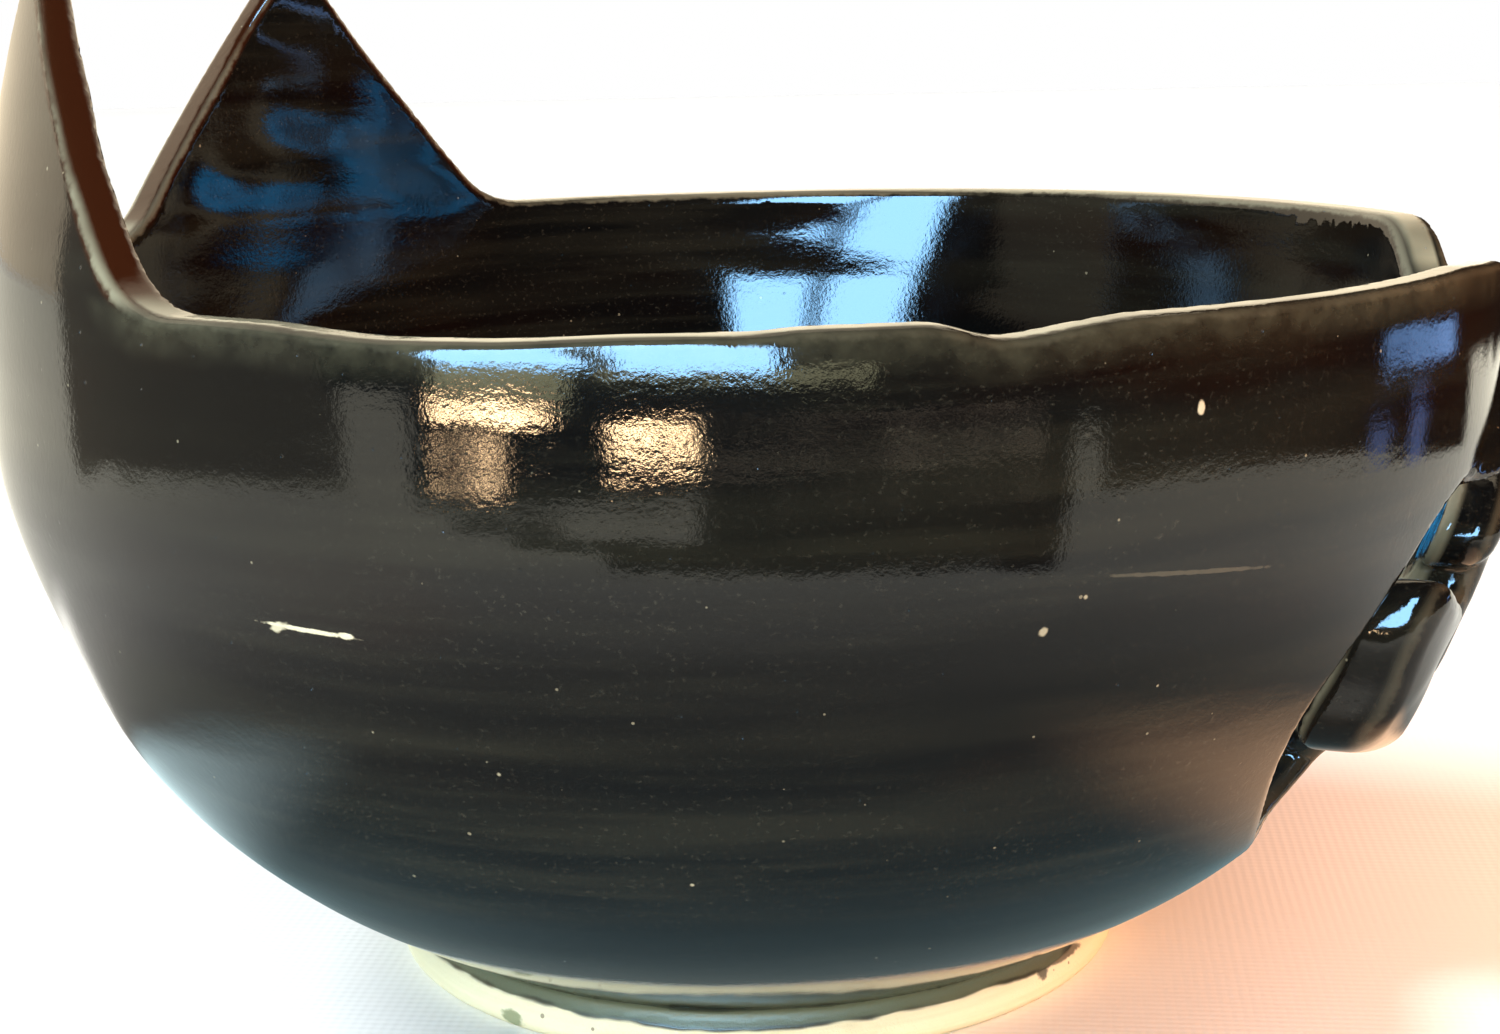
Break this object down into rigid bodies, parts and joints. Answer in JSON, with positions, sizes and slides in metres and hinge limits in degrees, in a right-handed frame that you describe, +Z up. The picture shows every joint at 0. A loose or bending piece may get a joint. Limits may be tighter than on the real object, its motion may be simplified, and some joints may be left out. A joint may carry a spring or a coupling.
{
  "type": "yarn bowl",
  "caption": "Round glazed ceramic yarn bowl on a turned foot, with cat ears on the rim and a curled tail hooked into the yarn slot in its wall.",
  "frame": {"origin": "centre of the foot, on the table", "axes": "+Z up; the cat's face looks along -X, so the ears are at the -X side and the tail and yarn slot at the +X side"},
  "size_m": [0.1589, 0.1574, 0.1077],
  "materials": {
    "black_glaze": "glossy",
    "bare_clay": "matte"
  },
  "bodies": {
    "root": {"bowl_wall": "black_glaze", "ear_left": "black_glaze", "ear_right": "black_glaze", "tail_hook": "black_glaze", "foot_ring": "bare_clay"}
  },
  "joints": []
}
